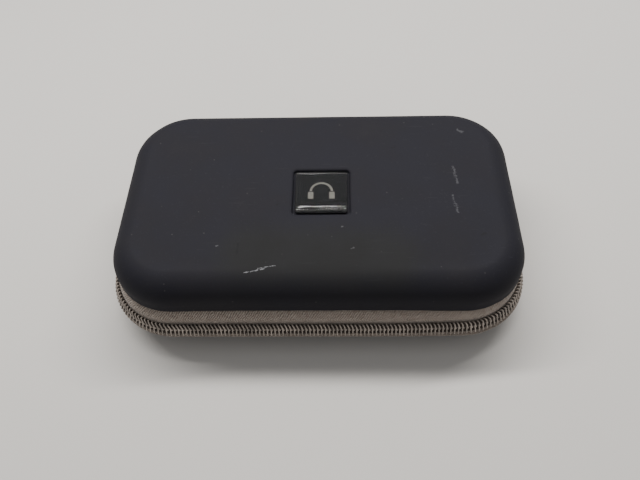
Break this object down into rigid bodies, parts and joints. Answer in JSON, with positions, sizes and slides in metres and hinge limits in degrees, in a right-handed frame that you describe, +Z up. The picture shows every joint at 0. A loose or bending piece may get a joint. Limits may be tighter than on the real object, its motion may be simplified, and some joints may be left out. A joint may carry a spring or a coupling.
{
  "type": "headphone carrying case",
  "caption": "Moulded hard-shell zip case for folded headphones, with a badge in the lid and a fabric hinge at the back.",
  "frame": {"origin": "middle of the base's flat resting face, on the surface the case lies on", "axes": "+X along the case's length, +Y towards the fabric hinge at the back, +Z up through the lid"},
  "size_m": [0.165, 0.1043, 0.0403],
  "materials": {
    "shell_skin": "matt soft-touch skin bonded over moulded foam, smooth, with light wear",
    "lining": "brushed knit, matt",
    "binding": "woven binding tape, matt",
    "thread": "twisted polyester sewing thread",
    "net": "knitted net, matt",
    "elastic": "woven elastic, matt",
    "badge_plate": "gloss black",
    "badge_mark": "printed, pale olive grey",
    "badge_dome": "clear domed resin, polished",
    "zip_tape": "herringbone weave, taupe, matt",
    "zip_coil": "nylon monofilament, taupe, satin",
    "spine": "coated woven fabric, matt",
    "slider": "gunmetal paint on cast zinc, satin"
  },
  "bodies": {
    "base": {"base_shell": "shell_skin", "base_lining": "lining", "base_rim_binding": "binding", "base_seam_thread": "thread", "zip_tape_lower": "zip_tape", "zip_coil_lower": "zip_coil", "zip_coil_lower_end_right": "zip_coil", "spine_outer": "spine", "spine_lining": "lining", "spine_bartack_left": "thread", "spine_bartack_right": "thread"},
    "lid": {"lid_shell": "shell_skin", "lid_lining": "lining", "lid_rim_binding": "binding", "lid_seam_thread": "thread", "pocket_net": "net", "pocket_elastic": "elastic", "badge_plate": "badge_plate", "badge_mark": "badge_mark", "badge_dome": "badge_dome", "zip_tape_upper": "zip_tape", "zip_tape_upper_end_left": "zip_tape", "zip_tape_upper_end_right": "zip_tape", "zip_coil_upper": "zip_coil", "zip_coil_upper_end_left": "zip_coil", "zip_coil_upper_end_right": "zip_coil"},
    "slider": {"slider_body": "slider"},
    "pull": {"pull_tab": "slider"}
  },
  "joints": [
    {"name": "lid_hinge", "type": "hinge", "parent": "base", "child": "lid", "pos_m": [0, 0.0512, 0.01975], "axis": [-1, 0, 0], "range_deg": [0, 180], "deforming": ["spine_outer", "spine_lining", "spine_bartack_left", "spine_bartack_right", "zip_tape_upper_end_left", "zip_tape_upper_end_right", "zip_coil_upper_end_left", "zip_coil_upper_end_right"]},
    {"name": "slider_travel", "type": "slide", "parent": "base", "child": "slider", "axis": [1, 0, 0], "range_m": [0, 0.0121], "deforming": ["zip_coil_upper_end_right", "zip_coil_lower_end_right"]},
    {"name": "pull_swing", "type": "hinge", "parent": "slider", "child": "pull", "pos_m": [0.03525, 0.05167, 0.01772], "axis": [0, 0.342, -0.9397], "range_deg": [0, 180]}
  ]
}
